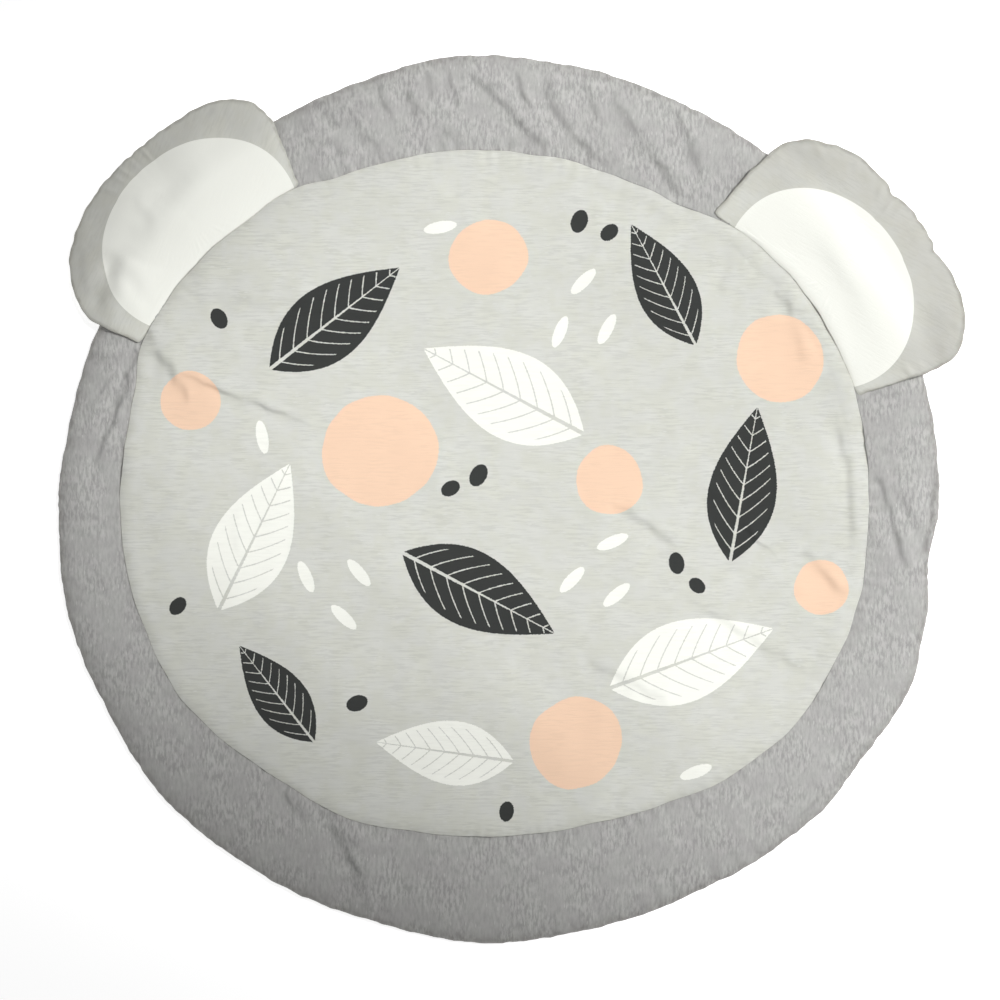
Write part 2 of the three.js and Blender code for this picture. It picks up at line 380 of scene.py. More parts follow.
def add_underside(mesh, lowered):
    """Copies the cloth to the heights that lowered gives for its own, and closes the edge between them."""
    with edited(mesh) as bm:
        for item in bmesh.ops.extrude_face_region(bm, geom=bm.faces)["geom"]:
            if isinstance(item, bmesh.types.BMVert):
                item.co.z = lowered(item.co.z)
        bmesh.ops.recalc_face_normals(bm, faces=bm.faces)


# Rings of the round's skin: a share from 0 at the middle to 1 at the panel's seam and 2 at the rim.
HIDDEN_RINGS = (0, 0.3, 0.55, 0.75, 0.88, 0.95, 0.985, 1)
BORDER_RINGS = 54
RING_CROWDING = 0.75
BACK_RINGS = 26
FRONT, SEAT, BACK = 1, 0.5, 0
FINE_REACH = 2.5


def make_round(sizes, material):
    """The filled round: one profile spun into rings, then each ring laid on its cloth's surface."""
    profile = [(share, SEAT) for share in HIDDEN_RINGS]
    for share in np.linspace(0, 1, BORDER_RINGS + 1):
        profile.append((1 + share - math.sin(2 * math.pi * share) / (2 * math.pi) * RING_CROWDING, FRONT))
    for ring in reversed(range(BACK_RINGS)):
        profile.append((2 * math.sin(math.pi / 2 * ring / BACK_RINGS), BACK))

    bm = bmesh.new()
    points = [bm.verts.new((share, 0, cloth)) for share, cloth in profile]
    edges = [bm.edges.new(pair) for pair in zip(points, points[1:])]
    bmesh.ops.spin(bm, geom=points + edges, cent=(0, 0, 0), axis=(0, 0, 1), angle=2 * math.pi,
                   steps=sizes.round_steps, use_merge=True)
    bmesh.ops.remove_doubles(bm, verts=bm.verts, dist=1e-5)
    piece = piece_from(bm, "padded_round", material)

    x, y, cloth = vertices_of(piece.data)
    angle, share = polar(x, y)
    seam, rim = seam_at(angle), rim_at(angle)
    set_rings(piece.data, angle, np.where(share > 1, seam + (rim - seam) * (share - 1), seam * share), cloth)
    refine(piece.data, BORDER_FOLDS, FINE_REACH, wanted=cloth > (FRONT + SEAT) / 2)
    x, y, cloth = vertices_of(piece.data)
    seat = panel_height(x, y, sizes) - sizes.panel_cloth - sizes.seat_gap
    regions = [cloth > (FRONT + SEAT) / 2, cloth > (SEAT + BACK) / 2]
    height = np.select(regions, [border_height(x, y, sizes), seat], back_height(x, y, sizes))
    set_vertices(piece.data, x, y, height)
    with edited(piece.data) as bm:
        bmesh.ops.recalc_face_normals(bm, faces=bm.faces)
    # Painted shade: a little along the panel's seam, with some soil, and a dark line along the rim's edge
    # where the cloth rolls down to the floor.
    shaded_worn_seam = 0.3 * trailing(abs(past_seam(x, y)), 6 * MM)
    shaded_rim = 2.2 * trailing(-past_rim(x, y), 5 * MM)
    add_attribute(piece.data, "near_seam", np.maximum(shaded_worn_seam, shaded_rim))
    return piece


PANEL_EDGE_CROWDING = 1.35
SHARP_FOLD = 3


def make_panel(sizes, material):
    """The panel: a disc drawn out to the seam, laid on the filling and given its cloth's thickness."""
    piece, angle, share = cloth_disc("panel_cloth", sizes.panel_cells, material)
    radius = (seam_at(angle) - PANEL_GAP) * (1 - (1 - share) ** PANEL_EDGE_CROWDING)
    set_rings(piece.data, angle, radius, radius * 0)
    refine(piece.data, PANEL_FOLDS, FINE_REACH)
    refine(piece.data, [fold for fold in PANEL_FOLDS if fold.width < SHARP_FOLD], 2.0)
    x, y, _ = vertices_of(piece.data)
    set_vertices(piece.data, x, y, panel_height(x, y, sizes))
    add_underside(piece.data, lambda height: height - sizes.panel_cloth)
    x, y, _ = vertices_of(piece.data)
    # Painted shade, with some soil, along the panel's edge at its seam.
    add_attribute(piece.data, "near_seam", 0.35 * trailing(-past_seam(x, y), 7 * MM))
    return piece


class Ear(NamedTuple):
    """An ear, in mm: its root's middle, its heading, how far past the rim it droops, how full it is, how much
    painted shade darkens its outer part, its cut outline and its folds. Places on it are measured along its
    root and out of it."""
    name: str
    node: str
    root: tuple
    towards_deg: float
    droop: float
    filling: float
    outer_shade: float
    outline: tuple
    folds: tuple


EAR_MIDDLE_OUT = 64 * MM
EARS = [
    Ear("ear_pad_left", "ear_left", (-291, 261), 133, 50, 15, 0.5, (
        (102, -24), (110, 6), (126, 48), (136, 78), (130, 110), (98, 137), (30, 151), (-41, 151),
        (-96, 135), (-131, 110), (-150, 76), (-152, 50), (-133, 0), (-116, -38), (-80, -80), (72, -80),
    ), (
        Fold((-23, 116), (-34, 90), (-40, 64), 6, 1.2),
        Fold((-88, 140), (-118, 104), (-138, 66), 3.2, 2.4),
        Fold((-104, 134), (-128, 104), (-146, 66), 3, 2.2),
        Fold((-80, 78), (-109, 64), (-150, 48), 7, 4.2),
    )),
    Ear("ear_pad_right", "ear_right", (315, 203), 36, 120, 9, 0.85, (
        (104, -24), (114, 5), (126, 43), (138, 80), (141, 103), (136, 124), (112, 147), (76, 161), (54, 163),
        (37, 161), (26, 166), (-6, 168), (-30, 165), (-42, 160), (-54, 163), (-100, 153), (-136, 126),
        (-152, 98), (-150, 60), (-142, 20), (-130, -18), (-80, -80), (76, -80),
    ), (
        Fold((80, 118), (100, 121), (122, 117), 5, 1.0),
        Fold((116, 107), (128, 104), (142, 100), 4, 0.9),
        Fold((-40, 150), (-34, 120), (-20, 84), 7, 0.8),
    )),
]

EAR_ROOT_HELD = 1 * MM
EAR_ROLL = 10 * MM
EAR_ROOT_FILLING = 0.25
FILLING_SETTINGS = {
    "quality": 6, "mass": 0.3, "tension_stiffness": 8, "compression_stiffness": 8, "shear_stiffness": 4,
    "bending_stiffness": 1.5, "use_pressure": True,
}


def ear_to_mat(ear, across, out):
    """A place on the ear, from its middle, as a place on the mat."""
    heading = math.radians(ear.towards_deg)
    out = out + EAR_MIDDLE_OUT
    x = ear.root[0] * MM + across * math.sin(heading) + out * math.cos(heading)
    y = ear.root[1] * MM - across * math.cos(heading) + out * math.sin(heading)
    return x, y


def cut_reach(ear, angle):
    """Distance from the ear's middle to its cut outline, a smooth closed curve through its places."""
    places = np.array(ear.outline) * MM - np.array((0, EAR_MIDDLE_OUT))
    before, after, last = np.roll(places, 1, 0), np.roll(places, -1, 0), np.roll(places, -2, 0)
    shares = np.linspace(0, 1, 12, endpoint=False)[:, None, None]
    curve = 0.5 * (2 * places + (after - before) * shares
                   + (2 * before - 5 * places + 4 * after - last) * shares ** 2
                   + (3 * places - before - 3 * after + last) * shares ** 3)
    turns, reach = polar(*curve.reshape(-1, 2).T)
    order = np.argsort(turns)
    reach = np.interp(angle, turns[order], reach[order], period=2 * math.pi)
    return reach + 0.45 * MM * wavering(angle, 12, 70, seed=41)


def ear_reach(ear, angle, halvings=24):
    """Distance from the ear's middle to its edge: its cut outline, or the panel's seam where nearer."""
    whole = cut_reach(ear, angle)
    near, far = np.zeros_like(angle), whole
    for _ in range(halvings):
        middle = (near + far) / 2
        outside = past_seam(*ear_to_mat(ear, middle * np.cos(angle), middle * np.sin(angle))) > 0
        near, far = np.where(outside, middle, near), np.where(outside, far, middle)
    return np.minimum(near, whole)


def ear_rest(ear, x, y, sizes):
    """What an ear lies on: the border, tight against the panel's seam, then a fall to the floor."""
    off_rim = past_rim(x, y)
    fallen = np.clip((off_rim + sizes.ear_shoulder) / (sizes.ear_shoulder + ear.droop * MM), 0, 1)
    slope = (sizes.height + sizes.ear_gap) * (1 - fallen) + sizes.ear_tip * fallen
    slope -= 2.0 * MM * bell(off_rim - 14 * MM, 13 * MM)
    border = filled_height(x, y, sizes)[0] + sizes.ear_gap - 2.0 * MM * trailing(past_seam(x, y), 5 * MM)
    close = smooth_step(off_rim, -40 * MM, 0)
    return np.where(off_rim > 0, slope, border + close * np.maximum(slope - border, 0))


def flat_ear(ear, sizes, material):
    """The ear's two cloths laid flat on each other and joined round their edge."""
    piece, angle, share = cloth_disc(ear.name, sizes.ear_cells, material)
    set_rings(piece.data, angle, ear_reach(ear, angle) * share, sizes.ear_seam * (1 - share ** 2))
    add_underside(piece.data, lambda height: -height - sizes.ear_seam)
    return piece


def softened(x, y, values, reach=9 * MM, at_once=500):
    """Each value averaged with those near it in the cloth's plane."""
    result = np.empty_like(values)
    for first in range(0, len(x), at_once):
        part = slice(first, first + at_once)
        apart = (x[part, None] - x) ** 2 + (y[part, None] - y) ** 2
        weight = np.exp(-apart / (2 * reach ** 2))
        result[part] = weight @ values / weight.sum(axis=1)
    return result


def inflate(pieces, roots, sizes):
    """Fills the flat ears with air for a few frames, holding their roots."""
    for piece, root in zip(pieces, roots):
        held = piece.vertex_groups.new(name="root")
        held.add(np.flatnonzero(root).tolist(), 1, "REPLACE")
        cloth = piece.modifiers.new("Filling", "CLOTH")
        for name, value in FILLING_SETTINGS.items():
            setattr(cloth.settings, name, value)
        cloth.settings.uniform_pressure_force = sizes.ear_pressure
        cloth.settings.effector_weights.gravity = 0
        cloth.settings.vertex_group_mass = held.name
        cloth.collision_settings.use_collision = False
        cloth.point_cache.frame_start = 1
        cloth.point_cache.frame_end = sizes.ear_frames
    for number in range(1, sizes.ear_frames + 1):
        bpy.context.scene.frame_set(number)
    graph = bpy.context.evaluated_depsgraph_get()
    filled = [vertices_of(piece.evaluated_get(graph).data) for piece in pieces]
    for piece, places in zip(pieces, filled):
        piece.modifiers.clear()
        piece.vertex_groups.clear()
        set_vertices(piece.data, *places)
    bpy.context.scene.frame_set(1)


def lay_ear(ear, piece, flat, sizes):
    """Lays the filled ear on the border and the floor, flat below and full above."""
    across, out, up = vertices_of(piece.data)
    flat_across, flat_out, flat_up = flat
    from_root = flat_out + EAR_MIDDLE_OUT
    turn, radius = polar(flat_across, flat_out)
    reach = ear_reach(ear, turn)
    share = np.clip(radius / reach, 0, 1)
    inset = (1 - share) * reach
    moved = (1 - share ** 6) * smooth_step(from_root, 10 * MM, 80 * MM)
    across = flat_across + (across - flat_across) * moved
    out = flat_out + (out - flat_out) * moved
    x, y = ear_to_mat(ear, across, out)
    sewn = trailing(past_seam(x, y), 5 * MM)

    front = flat_up > -sizes.ear_seam / 2
    place = flat_across[front], flat_out[front]
    roll = 1 - trailing(inset, EAR_ROLL)[front]
    filled = np.zeros_like(up)
    filled[front] = softened(*place, np.maximum(up[front], 0)) / softened(*place, roll) * roll
    filled *= EAR_ROOT_FILLING + (1 - EAR_ROOT_FILLING) * smooth_step(from_root, 10 * MM, 95 * MM)
    filled *= ear.filling * MM / np.max(filled)
    filled = np.maximum(0, filled + folded(across, out + EAR_MIDDLE_OUT, ear.folds) * (1 - share ** 8))
    puckers = np.maximum(0, wavering(turn, 18, 70, seed=42)) * smooth_step(from_root, 15 * MM, 60 * MM)
    filled += 0.7 * MM * puckers * bell(inset - 9 * MM, 8 * MM) * (1 - sewn)

    under = ear_rest(ear, x, y, sizes) + sizes.ear_lift * share ** 5 * smooth_step(from_root, 0, 60 * MM)
    over = under + sizes.ear_seam - 0.8 * MM * sewn + filled
    on_border = np.maximum(under, border_height(x, y, sizes) + 0.15 * MM)
    under = np.where(past_rim(x, y) < 0, on_border, under)
    set_vertices(piece.data, x, y, np.where(front, over, under))
    corners = np.empty(len(piece.data.loops), dtype=int)
    piece.data.loops.foreach_get("vertex_index", corners)
    cut_places = np.stack([flat_across, from_root], axis=1)[corners]
    piece.data.uv_layers.new(name="ear_cut").data.foreach_set("uv", cut_places.ravel())
    # Painted shadow: a dark line round the ear's sewn edge, where it meets what it lies on.
    add_attribute(piece.data, "near_seam", 1.8 * smooth_step(share, 0.965, 1.0))
    # Painted shade that darkens the ear's outer part, away from its root.
    outer_shade = smooth_step(share, 0.3, 0.9) * smooth_step(from_root, 15 * MM, 95 * MM)
    add_attribute(piece.data, "outer_shade", ear.outer_shade * outer_shade)
    smoothed = piece.modifiers.new("Smooth", "SUBSURF")
    smoothed.levels = smoothed.render_levels = 1


def make_ears(sizes, material):
    pieces = [flat_ear(ear, sizes, material) for ear in EARS]
    flats = [vertices_of(piece.data) for piece in pieces]
    off_seam = [past_seam(*ear_to_mat(ear, *flat[:2])) for ear, flat in zip(EARS, flats)]
    inflate(pieces, [distance < EAR_ROOT_HELD for distance in off_seam], sizes)
    for ear, piece, flat in zip(EARS, pieces, flats):
        lay_ear(ear, piece, flat, sizes)
    return pieces


# Shader nodes

def math_method(operation):
    """A method that becomes a math node."""
    return lambda value, *others: value.wiring.math(operation, value, *others)


class Value:
    """A number or vector that varies over the surface. Sums written with it become shader nodes."""
    __add__ = math_method("ADD")
    __sub__ = math_method("SUBTRACT")
    __mul__ = math_method("MULTIPLY")
    __truediv__ = math_method("DIVIDE")
    __lt__ = math_method("LESS_THAN")
    __gt__ = math_method("GREATER_THAN")
    __abs__ = math_method("ABSOLUTE")
    at_least = math_method("MAXIMUM")
    floor = math_method("FLOOR")
    fraction = math_method("FRACT")
    pingpong = math_method("PINGPONG")

    def __init__(self, wiring, socket):
        self.wiring = wiring
        self.socket = socket

    def __rsub__(self, other):
        return self.wiring.math("SUBTRACT", other, self)

    def length(self):
        return self.wiring.value("ShaderNodeVectorMath", {0: self}, "Value", operation="LENGTH")

    def parts(self):
        return self.wiring.outputs("ShaderNodeSeparateXYZ", {0: self})

    def turned(self, angle):
        """The vector turned back by an angle about Z."""
        feeds = {"Vector": self, "Angle": 0 - angle}
        return self.wiring.value("ShaderNodeVectorRotate", feeds, rotation_type="Z_AXIS")

    def noise(self, scale, detail, roughness=0.5, output=0):
        feeds = {"Vector": self, "Scale": scale, "Detail": detail, "Roughness": roughness}
        return self.wiring.value("ShaderNodeTexNoise", feeds, output, noise_dimensions="2D")

    def ramp(self, low, high, to_low=0.0, to_high=1.0):
        feeds = {"Value": self, "From Min": low, "From Max": high, "To Min": to_low, "To Max": to_high}
        return self.wiring.value("ShaderNodeMapRange", feeds, interpolation_type="SMOOTHSTEP")

    def mixed(self, first, second, blend="MIX"):
        """The first colour, and as much of the second as this value says."""
        feeds = {0: self, 6: first, 7: second}
        return self.wiring.value("ShaderNodeMix", feeds, 2, data_type="RGBA", blend_type=blend)


def join(x, y):
    return x.wiring.value("ShaderNodeCombineXYZ", {"X": x, "Y": y})


class Wiring:
    """Adds nodes to a tree and joins them up as they come."""

    def __init__(self, tree):
        self.tree = tree

    def feed(self, socket, value):
        if isinstance(value, Value):
            self.tree.links.new(value.socket, socket)
        else:
            socket.default_value = value

    def add(self, kind, feeds=(), **settings):
        """A node with its settings, and with its inputs fed by name or number."""
        node = self.tree.nodes.new(kind)
        for name, value in settings.items():
            setattr(node, name, value)
        for name, value in dict(feeds).items():
            self.feed(node.inputs[name], value)
        return node

    def outputs(self, kind, feeds=(), **settings):
        return [Value(self, socket) for socket in self.add(kind, feeds, **settings).outputs]

    def value(self, kind, feeds=(), output=0, **settings):
        return Value(self, self.add(kind, feeds, **settings).outputs[output])

    def math(self, operation, *values):
        return self.value("ShaderNodeMath", enumerate(values), operation=operation)

    def attribute(self, name):
        return self.value("ShaderNodeAttribute", output="Fac", attribute_name=name)


def made_group(name, takes, maker):
    """A group of the maker's nodes, with sockets for what the maker takes and gives."""
    tree = bpy.data.node_groups.new(name, "ShaderNodeTree")
    for socket_name, default in takes.items():
        kind = "NodeSocketVector" if default is None else "NodeSocketFloat"
        socket = tree.interface.new_socket(socket_name, in_out="INPUT", socket_type=kind)
        if default is not None:
            socket.default_value = default
    wiring = Wiring(tree)
    given = maker(*wiring.outputs("NodeGroupInput")[:len(takes)])
    for socket_name in given:
        tree.interface.new_socket(socket_name, in_out="OUTPUT", socket_type="NodeSocketFloat")
    wiring.add("NodeGroupOutput", given)
    return tree


def shader_group(name, **takes):
    """Makes a function of values one shared group, built at its first use. None stands for a vector."""
    def shared(maker):
        def outputs(*values):
            tree = bpy.data.node_groups.get(name) or made_group(name, takes, maker)
            return values[0].wiring.outputs("ShaderNodeGroup", enumerate(values), node_tree=tree)
        return outputs
    return shared


@shader_group("Melange yarn", place=None, turn=0.0, streak_length=0.012, streak_width=0.0013, dashes=0.0)
def melange(place, turn, streak_length, streak_width, dashes):
    """Yarn spun of light and dark fibres: short streaks in patches, soft mottling and a few bright fibres."""
    along, across, _ = place.turned(turn).parts()
    mottle = place.noise(42.0, 2.0, 0.55)
    across = across + mottle * 0.0015
    grain = join(along / streak_length, across / streak_width).noise(1.0, 3.0, 0.62)
    even, dashed = grain.ramp(0.25, 0.75), grain.ramp(0.34, 0.5)
    strength = place.noise(28.0, 1.0).ramp(0.33, 0.67, 0.5, 1.5)
    streaks = (even - 0.5 + dashes * (dashed - even - 0.25)) * strength + 0.5
    fibre_feeds = {"Vector": join(along / 0.018, across / 0.005), "Scale": 1.0}
    distance, chance, *_ = place.wiring.outputs("ShaderNodeTexVoronoi", fibre_feeds, voronoi_dimensions="2D")
    fibres = distance.ramp(0.17, 0.07) * (chance.parts()[0] > 0.72)
    return {"Streaks": streaks, "Mottle": mottle.ramp(0.3, 0.7), "Bright Fibres": fibres}


@shader_group("Jersey stitches", place=None, turn=0.0, pitch=0.0011)
def jersey(place, turn, pitch):
    """Plain knitting: columns of small V stitches, as a height from 0 to 1."""
    x, y, _ = place.turned(turn).parts()
    off_middle = abs((x / pitch).fraction() - 0.5)
    stitch = (y / pitch + off_middle).pingpong(0.5)
    return {"Height": stitch * 2.0 * off_middle.ramp(0.5, 0.3)}


@shader_group("Seam shade and soil", place=None, near_seam=0.0)
def seam_shade_and_soil(place, near_seam):
    """Painted shade along the seams and the rim's edge, with some soil: the cloth a little greyer there, in
    patches.
    """
    return {"Shade and Soil": near_seam * place.noise(90.0, 1.0).ramp(0.35, 0.65, 0.45, 1.0)}


LEAF_EDGE = 0.011
VEIN_SPACING = 0.105


@shader_group("Printed leaf", place=None)
def leaf(place):
    """A printed leaf with its veins left open, from its place in shares of its half length and half width."""
    along, across, _ = place.parts()
    across = abs(across)
    half = (1.0 - along * along).at_least(0.0) * (1.0 - along * 0.3)
    body = (half - across).ramp(0.0, LEAF_EDGE)
    rib = (across - along.ramp(-1.0, 0.8, 0.042, 0.008)).ramp(0.0, LEAF_EDGE)
    swept = along - across * across * 0.16 - across * 0.34
    vein = swept.pingpong(VEIN_SPACING).ramp(0.006, 0.012)
    return {"Mask": body * rib * vein.at_least(half * 0.8 < across)}


@shader_group("Printed flecks", place=None, length=0.037, width=0.013, spacing=0.045)
def flecks(place, length, width, spacing):
    """Printed flecks in loose staggered rows, each a little astray; the place's Z is their patch's radius."""
    along, across, radius = place.parts()
    pitch = spacing * 1.25
    row_place = across / spacing
    row = row_place.floor()
    stagger = row.pingpong(1.0) * 0.5
    column_place = along / pitch + stagger
    column = column_place.floor()
    cell = {"Vector": join(row, column)}
    chance = place.wiring.value("ShaderNodeTexWhiteNoise", cell, "Color", noise_dimensions="2D")
    shift_along, shift_across, lean = chance.parts()
    off_along = (column_place.fraction() - (shift_along * 0.2 + 0.4)) * pitch
    off_across = (row_place.fraction() - (shift_across * 0.2 + 0.4)) * spacing
    leaned = join(off_along, off_across).turned(0.3 - lean * 0.6).parts()
    off_middle = join(leaned[0] / length, leaned[1] / width).length()
    from_patch_middle = join((column + 0.5 - stagger) * pitch, (row + 0.5) * spacing).length()
    return {"Mask": off_middle.ramp(0.5, 0.47) * (from_patch_middle < radius)}


class Motif(NamedTuple):
    """A printed shape: its middle, length and width in mm, and its turn from +X in degrees."""
    x: float
    y: float
    length: float
    width: float
    turn: float

    @property
    def half_sizes(self):
        return self.length * MM / 2, self.width * MM / 2, 1


WHITE_LEAVES = [
    Motif(5, 118, 196, 92, 152), Motif(-262, -38, 176, 82, 64),
    Motif(206, -168, 188, 86, 20), Motif(-58, -268, 150, 68, 172),
]
CHARCOAL_LEAVES = [
    Motif(-176, 196, 178, 78, 38), Motif(176, 232, 148, 62, 118),
    Motif(262, 18, 170, 72, 80), Motif(-22, -98, 186, 80, -28),
    Motif(-238, -206, 132, 56, 128),
]
PEACH_SPOTS = [
    Motif(-12, 262, 84, 80, 10), Motif(-330, 108, 66, 62, 0),
    Motif(300, 152, 92, 96, 30), Motif(-128, 54, 126, 118, 15),
    Motif(118, 22, 72, 74, 0), Motif(82, -258, 102, 96, 40),
    Motif(345, -92, 58, 60, 0),
]
CHARCOAL_SEEDS = [
    Motif(86, 300, 26, 18, 70), Motif(118, 288, 22, 16, 40),
    Motif(-300, 196, 24, 17, 120), Motif(-52, 14, 22, 16, 30),
    Motif(-22, 28, 26, 18, 60), Motif(190, -66, 24, 17, 100),
    Motif(212, -90, 20, 15, 140), Motif(-152, -216, 24, 17, 20),
    Motif(8, -332, 22, 16, 80), Motif(-344, -112, 22, 16, 50),
]
FLECK_PATCHES = [
    Motif(96, 196, 96, 96, 62), Motif(-276, 66, 72, 72, 100),
    Motif(112, -82, 84, 84, 40), Motif(-168, -90, 84, 84, 130),
    Motif(204, -268, 64, 64, 20), Motif(-66, 316, 60, 60, 10),
]
EAR_PATCH = Motif(-4, 38, 228, 196, 0)
INK_EDGE = 0.4 * MM
LEAF_REACH = 1.3
FLECK_PATCH_REACH = 1.8


def placed(place, motif, half_sizes, depth=0.0):
    """The place as the motif sees it, in its half sizes."""
    feeds = {
        "Vector": place, "Location": (motif.x * MM, motif.y * MM, -depth),
        "Rotation": (0, 0, math.radians(motif.turn)), "Scale": half_sizes,
    }
    return place.wiring.value("ShaderNodeMapping", feeds, vector_type="TEXTURE")


def chosen(places, reaches):
    """The place seen from the one motif that is near enough, from the place seen from each and its reach."""
    total = places[0]
    for place, reach in zip(places[1:], reaches[1:]):
        feeds = {0: place.length() < reach, 4: total, 5: place}
        total = place.wiring.value("ShaderNodeMix", feeds, 1, data_type="VECTOR")
    return total


def printed_leaves(place, motifs):
    places = [placed(place, motif, motif.half_sizes) for motif in motifs]
    return leaf(chosen(places, [LEAF_REACH] * len(motifs)))[0]


def printed_spots(place, motifs, unevenness=0.0):
    """Ovals, cut where the distance inside the nearest edge falls to nothing."""
    inside = -1.0
    for motif in motifs:
        half = motif.half_sizes[1]
        off_middle = placed(place, motif, motif.half_sizes).length()
        inside = (half - off_middle * half).at_least(inside)
    if unevenness:
        inside = inside + place.noise(22.0, 1.0) * unevenness - unevenness / 2
    return inside.ramp(0.0, INK_EDGE)


def printed_flecks(place, motifs):
    radii = [motif.half_sizes[0] for motif in motifs]
    places = [placed(place, motif, (1, 1, 1), radius) for motif, radius in zip(motifs, radii)]
    return flecks(chosen(places, [radius * FLECK_PATCH_REACH for radius in radii]))[0]


class Cloth(NamedTuple):
    """A cloth's material: its surface, how its yarn lies, how much each detail shows, and its mottling."""
    name: str
    sheen: float
    roughness: float
    turn: float
    streak_length: float
    streak_width: float
    dashes: float
    streak_depth: float
    fibre_depth: float
    bump: float
    mottling: tuple


BORDER_CLOTH = Cloth(
    "Grey melange jersey", 0.25, 0.9, math.pi / 2, 10 * MM, 2.9 * MM, 0.1, 0.165, 0.2, 0.35,
    (0.955, 0.94, 0.955, 1))
PANEL_CLOTH = Cloth(
    "Printed panel jersey", 0.15, 0.85, 0, 24 * MM, 2.2 * MM, 0.4, 0.062, 0.04, 0.25,
    (0.98, 0.98, 0.945, 1))
EAR_CLOTH = Cloth(
    "Ear jersey", 0.15, 0.85, 0.4, 18 * MM, 2.4 * MM, 0.3, 0.03, 0.03, 0.25,
    (0.985, 0.98, 0.955, 1))
# Tint of the painted shade, with some soil, along the seams and the rim's edge.
SHADED_AND_SOILED = (0.735, 0.725, 0.71, 1)
# Tint of the painted shade on the ears' outer parts.
OUTER_SHADE_TINT = (0.78, 0.77, 0.77, 1)
STITCH_DEPTH = 0.4 * MM
INK_BLEED = 1 * MM


def new_material(name, settings):
    """A material, its wiring, and its shader with the named settings."""
    material = bpy.data.materials.new(name)
    material.use_nodes = True
    shader = material.node_tree.nodes["Principled BSDF"]
    for socket_name, value in settings.items():
        shader.inputs[socket_name].default_value = value
    return material, Wiring(material.node_tree), shader


def cloth_material(cloth):
    return new_material(cloth.name, {
        "Sheen Weight": cloth.sheen, "Sheen Roughness": 0.6,
        "Specular IOR Level": 0.25, "Roughness": cloth.roughness,
    })


def place_from(wiring, kind, **settings):
    """The node's place seen from above, so that a pattern isn't drawn out down a steep side."""
    x, y, _ = wiring.value(kind, **settings).parts()
    return join(x, y)


def toned(colour, factor):
    return tuple(min(1, channel * factor) for channel in colour) + (1,)


def dyed(place, cloth, colour):
    """The cloth's colour before print or wear, and its knitted height."""
    yarn = cloth.turn, cloth.streak_length, cloth.streak_width, cloth.dashes
    streaks, mottle, fibres = melange(place, *yarn)
    shade = streaks.mixed(toned(colour, 1 - cloth.streak_depth), toned(colour, 1 + cloth.streak_depth))
    shade = mottle.mixed(shade, cloth.mottling, "MULTIPLY")
    shade = fibres.mixed(shade, toned(colour, 1 + cloth.fibre_depth))
    stitches = jersey(place, cloth.turn - math.pi / 2)[0]
    return shade, streaks * 0.6 + stitches * 0.4


def finish_cloth(shader, place, cloth, shade, height):
    """Painted shade with some soil along the seams, then colour and bump into the shader."""
    wiring = place.wiring
    # Painted shade, with some soil, along the seams and the rim's edge.
    shade_and_soil = seam_shade_and_soil(place, wiring.attribute("near_seam"))[0]
    wiring.feed(shader.inputs["Base Color"], shade_and_soil.mixed(shade, SHADED_AND_SOILED, "MULTIPLY"))
    bump_feeds = {"Height": height, "Strength": cloth.bump, "Distance": STITCH_DEPTH}
    wiring.feed(shader.inputs["Normal"], wiring.value("ShaderNodeBump", bump_feeds))


def border_material(colours):
    material, wiring, shader = cloth_material(BORDER_CLOTH)
    place = place_from(wiring, "ShaderNodeTexCoord", output="Object")
    finish_cloth(shader, place, BORDER_CLOTH, *dyed(place, BORDER_CLOTH, colours.border))
    return material


def panel_material(colours):
    material, wiring, shader = cloth_material(PANEL_CLOTH)
    place = place_from(wiring, "ShaderNodeTexCoord", output="Object")
    shade, height = dyed(place, PANEL_CLOTH, colours.panel)
    x, y, _ = place.parts()
    bleed_x, bleed_y, _ = place.noise(700.0, 0.0, output=1).parts()
    ragged = join(x + (bleed_x - 0.5) * INK_BLEED, y + (bleed_y - 0.5) * INK_BLEED)
    peach = printed_spots(ragged, PEACH_SPOTS, unevenness=0.006)
    charcoal = printed_leaves(ragged, CHARCOAL_LEAVES).at_least(printed_spots(ragged, CHARCOAL_SEEDS))
    ink_tone = height.ramp(0.0, 1.0, 0.97, 1.03)
    for mask, colour, cover in (
        (printed_flecks(ragged, FLECK_PATCHES) * (1.0 - peach), colours.ink_white, 1.0),
        (peach, colours.ink_peach, 0.97),
        (printed_leaves(ragged, WHITE_LEAVES), colours.ink_white, 1.0),
        (charcoal, colours.ink_charcoal, 0.985),
    ):
        ink_feeds = {0: tuple(colour), "Scale": ink_tone}
        ink = wiring.value("ShaderNodeVectorMath", ink_feeds, operation="SCALE")
        shade = (mask * cover).mixed(shade, ink)
    finish_cloth(shader, place, PANEL_CLOTH, shade, height)
    return material


def ear_material(colours):
    material, wiring, shader = cloth_material(EAR_CLOTH)
    place = place_from(wiring, "ShaderNodeUVMap", uv_map="ear_cut")
    shade, height = dyed(place, EAR_CLOTH, colours.ear)
    # Painted shade on the ear's outer part: on the cloth, then more lightly over the printed patch too.
    outer_shade = wiring.attribute("outer_shade")
    shade = outer_shade.mixed(shade, OUTER_SHADE_TINT, "MULTIPLY")
    shade = printed_spots(place, [EAR_PATCH]).mixed(shade, toned(colours.ink_white, 1))
    shade = (outer_shade * 0.3).mixed(shade, OUTER_SHADE_TINT, "MULTIPLY")
    finish_cloth(shader, place, EAR_CLOTH, shade, height)
    return material


# Settings

def length_property(name, description, length_mm):
    return bpy.props.FloatProperty(name=name, description=description, default=length_mm * MM, unit="LENGTH")


def count_property(name, description, default):
    return bpy.props.IntProperty(name=name, description=description, default=default)


def colour_property(name, description, default):
    return bpy.props.FloatVectorProperty(
        name=name, description=description, default=default, subtype="COLOR", size=3, min=0, max=1)


